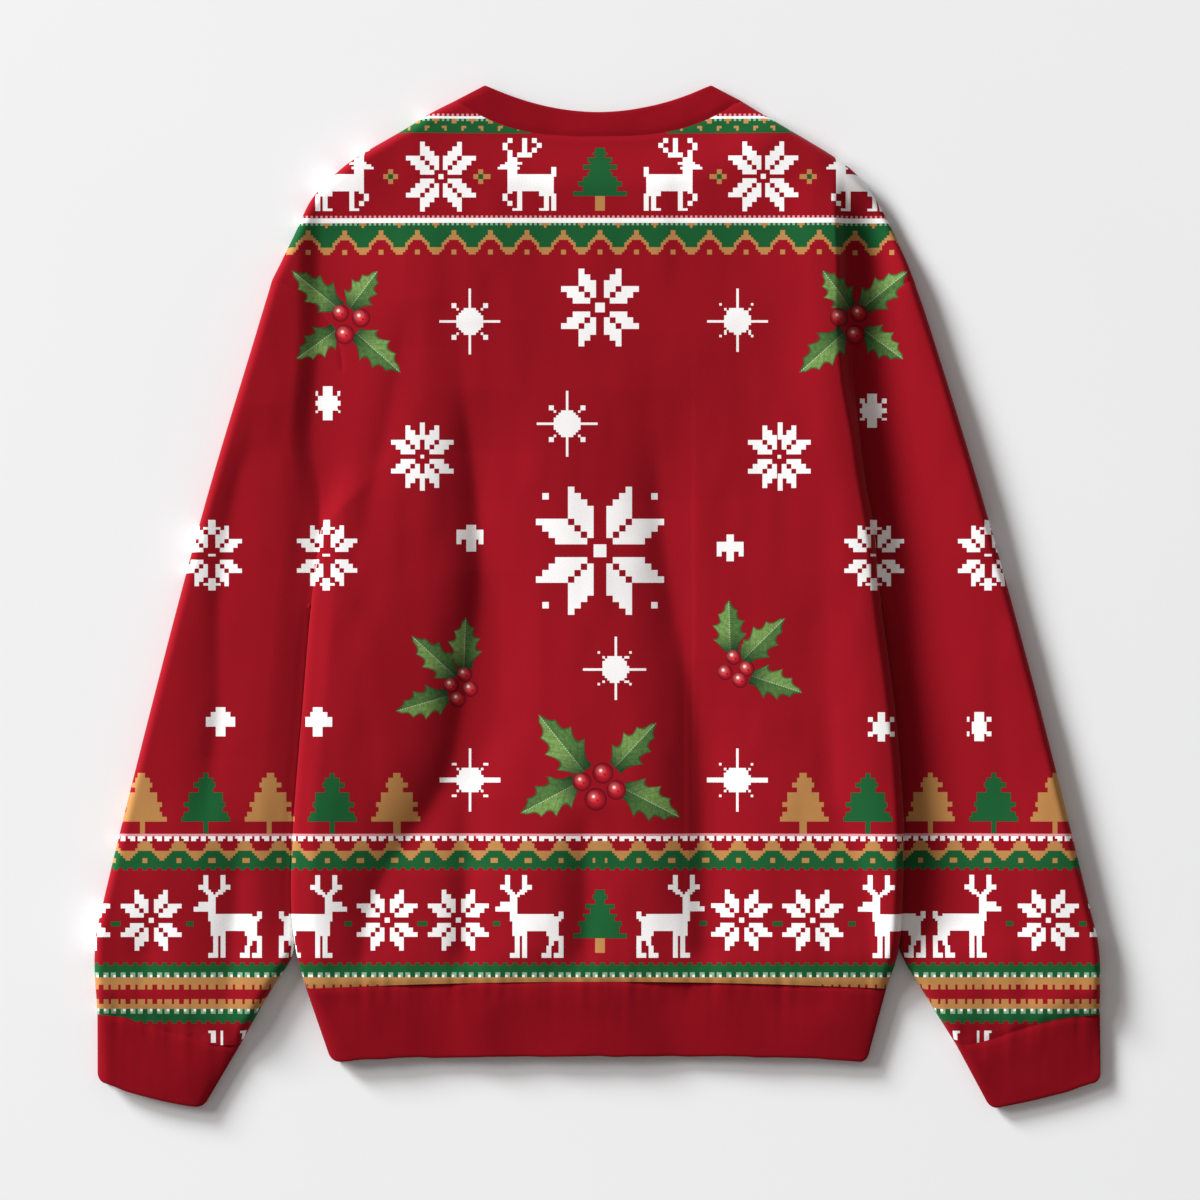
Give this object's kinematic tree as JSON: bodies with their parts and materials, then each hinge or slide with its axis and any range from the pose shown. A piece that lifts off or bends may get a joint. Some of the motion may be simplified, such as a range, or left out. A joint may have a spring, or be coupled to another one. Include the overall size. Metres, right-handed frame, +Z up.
{
  "type": "christmas sweatshirt",
  "caption": "Drop-shoulder crew-neck sweatshirt laid flat with its back up, long sleeves beside the body, with neckband, hem band and cuffs as open tubes of cloth.",
  "frame": {"origin": "on the surface that the garment lies on, under the middle of its box", "axes": "+Z up out of the surface, the back of the garment facing up; +Y towards the neck; +X to the right of someone who looks down at the back"},
  "size_m": [0.7244, 0.7362, 0.0206],
  "materials": {
    "printed_fleece": "smooth matt sweatshirt jersey in deep red with printed white, green and gold motifs",
    "rib": "plain matt deep red band cloth"
  },
  "bodies": {
    "root": {"back": "printed_fleece", "front": "printed_fleece", "sleeve_left": "printed_fleece", "sleeve_left_under": "printed_fleece", "sleeve_right": "printed_fleece", "sleeve_right_under": "printed_fleece", "neckband": "rib", "hemband": "rib", "cuff_left": "rib", "cuff_right": "rib"}
  },
  "joints": []
}
